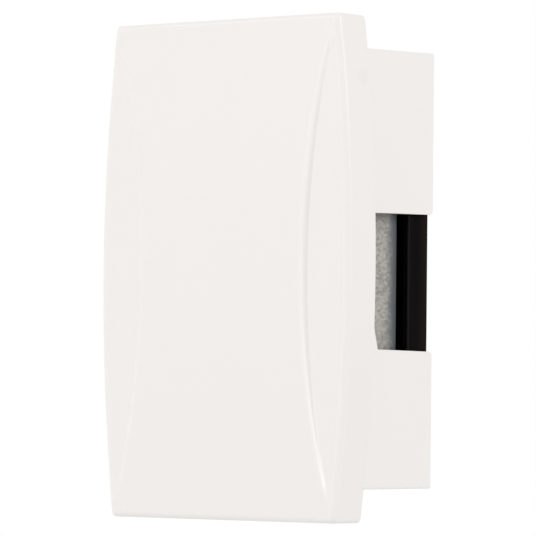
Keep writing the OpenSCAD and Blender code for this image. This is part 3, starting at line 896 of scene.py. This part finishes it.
plungerSizes = {
    "axis": 21.0, "core": (-27.5, 11.5), "coreRadius": 4.0, "coreChamfer": 0.4, "coreEdge": 0.08,
    "boreIn": 5.8, "boreDraft": 0.05, "groove": (-26.85, -25.95), "grooveRadius": 3.2, "clipEdge": 0.1,
    "leftTip": -29.9, "leftRadius": 3.0, "rightTip": 28.9, "rightRadius": 2.6, "stem": 1.5, "stemIn": 5.5,
    "dome": 1.1, "domeSteps": 10, "ring": ((0.9, 0), (0.75, 0.3), (0.45, 0.3)), "ringFrom": 5.0,
    "tipEdge": 0.1,
    "spring": (-25.98, -18.82), "springRadius": 4.65, "springWire": 0.5, "wireSides": 12, "springGap": 0.05,
    "curls": 5, "curlSteps": 44, "travel": 3.9, "margin": 0.57,
}


def makeCore(c):
    (a, b), (g, h), r, chamfer = c["core"], c["groove"], c["coreRadius"], c["coreChamfer"]
    small, stem, bore = c["grooveRadius"], c["stem"], b - c["boreIn"]
    obj = turned("plungerCore", [(a, stem), (a, r - chamfer), (a + chamfer, r), (g, r), (g, small),
                                 (h, small), (h, r), (b - chamfer, r), (b, r - chamfer), (b, stem),
                                 (bore, stem + c["boreDraft"]), (bore, 0)],
                 at(0, c["axis"], 0), across, upward, 72)
    return softEdges(obj, c["coreEdge"], 2, 40)


def makeStriker(name, c, tip, shoulder, r):
    way, steps, stem = 1 if shoulder > tip else -1, c["domeSteps"], c["stem"]
    turns = [math.pi / 2 * i / steps for i in range(steps + 1)]
    dome = [(tip + way * c["dome"] * (1 - math.cos(a)), r * math.sin(a)) for a in turns]
    ring, inside = [], shoulder + way * c["stemIn"]
    if abs(shoulder - tip) > c["ringFrom"]:  # a groove round the long striker
        ring = [(shoulder - way * back, r - low) for back, low in c["ring"]]
    obj = turned(name, dome + ring + [(shoulder, r), (shoulder, stem), (inside, stem), (inside, 0)],
                 at(0, c["axis"], 0), across, upward, 56)
    return softEdges(obj, c["tipEdge"], 2, 40)


def makeSpring(c):
    (x0, x1), wire, sides = c["spring"], c["springWire"], c["wireSides"]
    inset, steps = wire / 2 + c["springGap"], c["curls"] * c["curlSteps"]
    start, end = x0 + inset, x1 - inset
    clear()
    bpy.ops.mesh.primitive_circle_add(vertices=sides, radius=wire / 2 * mm, rotation=(0, 0, 0))
    obj = settle(bpy.context.object)
    obj.name = "returnSpring"
    for vert in obj.data.vertices:
        vert.co.y += c["springRadius"] * mm
    obj.location = at(start, c["axis"], 0)
    finished(obj, "SCREW", axis="X", angle=2 * math.pi * c["curls"], screw_offset=(end - start) * mm,
             steps=steps, render_steps=steps, use_merge_vertices=False)
    settle(obj)
    # open in the middle and closed at the ends, so that the curls stay apart when it is pushed in
    base, tip = x1 + c["margin"], x0 - c["margin"]

    def pushed(x):
        return x + c["travel"] * ease((x - base) / (tip - base))

    low, high = pushed(start), pushed(end)
    for vert in obj.data.vertices:
        share = (vert.index // sides) / steps
        goal, a, b = low + (high - low) * share, start, end
        for _ in range(40):  # halving finds where the pushed curl lies at its even place
            mid = (a + b) / 2
            a, b = (mid, b) if pushed(mid) < goal else (a, mid)
        vert.co.x += (a - (start + (end - start) * share)) * mm
    pick(obj, "EDGE", lambda e: e.is_boundary)
    bpy.ops.mesh.fill_holes(sides=0)
    return facedOut(obj)


coreLeft, coreRight = plungerSizes["core"]
dress(makeCore(plungerSizes), paints["core"], "plunger", "core_iron", "plunger_core")
for name, node, key, end in (("strikerLeft", "striker_left", "left", coreLeft),
                             ("strikerRight", "striker_right", "right", coreRight)):
    striker = makeStriker(name, plungerSizes, plungerSizes[key + "Tip"], end, plungerSizes[key + "Radius"])
    dress(striker, paints["striker"], "plunger", "striker_nylon", node)
clip = softEdges(cadCopy("plunger_clip", "plungerClip"), plungerSizes["clipEdge"])
dress(clip, paints["springSteel"], "plunger", "spring_steel", "plunger_clip")
spring = dress(makeSpring(plungerSizes), paints["springWire"], None, "spring_wire", "return_spring", angle=60)
springLeft, springRight = plungerSizes["spring"]
at(springRight + plungerSizes["margin"], plungerSizes["axis"], 0)
at(springLeft - plungerSizes["margin"], plungerSizes["axis"], 0)
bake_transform(spring)
print("plunger made")


# camera, light and floor

cameraSizes = {"target": Vector((0, -0.02, 0)), "distance": 1.1806, "azimuth": 40.53, "elevation": -1.636,
               "roll": 0.562, "lens": 297.5, "sensor": 36, "shift": (0.0003, 0.0058), "clip": (0.05, 50)}


def towards(azimuth, elevation):  # from the object, in degrees, with azimuth 0 straight in front
    a, e = math.radians(azimuth), math.radians(elevation)
    return Vector((math.sin(a) * math.cos(e), -math.cos(a) * math.cos(e), math.sin(e)))


def makeCamera(c):
    back = towards(c["azimuth"], c["elevation"])
    clear()
    bpy.ops.object.camera_add(location=c["target"] + back * c["distance"])
    cam = bpy.context.object
    turn = (-back).to_track_quat("-Z", "Y").to_matrix() @ Matrix.Rotation(math.radians(c["roll"]), 3, "Z")
    cam.rotation_euler = turn.to_euler()
    cam.data.lens, cam.data.sensor_width = c["lens"], c["sensor"]
    cam.data.shift_x, cam.data.shift_y = c["shift"]
    cam.data.clip_start, cam.data.clip_end = c["clip"]
    scene.camera = cam


makeCamera(cameraSizes)

# lamps: azimuth, elevation, distance, width, height, watts
lightSizes = {
    "world": 0.699,
    "lamps": ((-38, 41, 2.6, 0.9, 0.9, 9.0), (-18, 9, 4.2, 2.7, 0.9, 15.4),
              (-3, 10.5, 4.2, 0.97, 0.65, 15.8), (103, 23, 2.6, 1.25, 1.05, 17.4)),
    "floorZ": -0.32, "floorSize": 9.0, "floorTone": (0.9, 0.896, 0.888), "floorDull": 0.985,
}


def makeLight(c):
    scene.view_settings.view_transform = "Standard"
    for azimuth, elevation, distance, width, tall, power in c["lamps"]:
        back = towards(azimuth, elevation)
        clear()
        bpy.ops.object.light_add(type="AREA", location=cameraSizes["target"] + back * distance)
        lamp = bpy.context.object
        lamp.rotation_euler = back.to_track_quat("Z", "Y").to_euler()
        lamp.data.shape, lamp.data.size, lamp.data.size_y, lamp.data.energy = "RECTANGLE", width, tall, power
    world = bpy.data.worlds.new("studio")
    scene.world = world
    world.use_nodes = True
    tree = world.node_tree
    tree.nodes.clear()
    path = tree.nodes.new("ShaderNodeLightPath")
    seen = Value(tree, path.outputs["Is Camera Ray"])
    seen = seen.sum("MAXIMUM", seen, Value(tree, path.outputs["Is Glossy Ray"]))
    seen = seen.sum("MAXIMUM", seen, Value(tree, path.outputs["Is Transmission Ray"]))
    soft = seen.node("ShaderNodeBackground", {}, {"Color": (1, 1, 1, 1), "Strength": c["world"]})
    white = seen.node("ShaderNodeBackground", {}, {"Color": (1, 1, 1, 1), "Strength": 1.0})
    mixed = seen.node("ShaderNodeMixShader", {}, {0: seen, 1: soft, 2: white})
    out = tree.nodes.new("ShaderNodeOutputWorld")
    tree.links.new(mixed.socket, out.inputs["Surface"])
    clear()
    bpy.ops.mesh.primitive_plane_add(size=c["floorSize"], location=(0, 0, c["floorZ"]))
    floor = settle(bpy.context.object)
    floor.name = "floor"
    material, pos = startPaint("floorPaper")
    dull = tuple(c["floorDull"] * t for t in c["floorTone"])
    lay(material, colour=tones(noise(pos, 3, 2), c["floorTone"], dull), roughness=0.9, specular=0.0)
    floor.data.materials.append(material)


makeLight(lightSizes)
print("camera and light set")
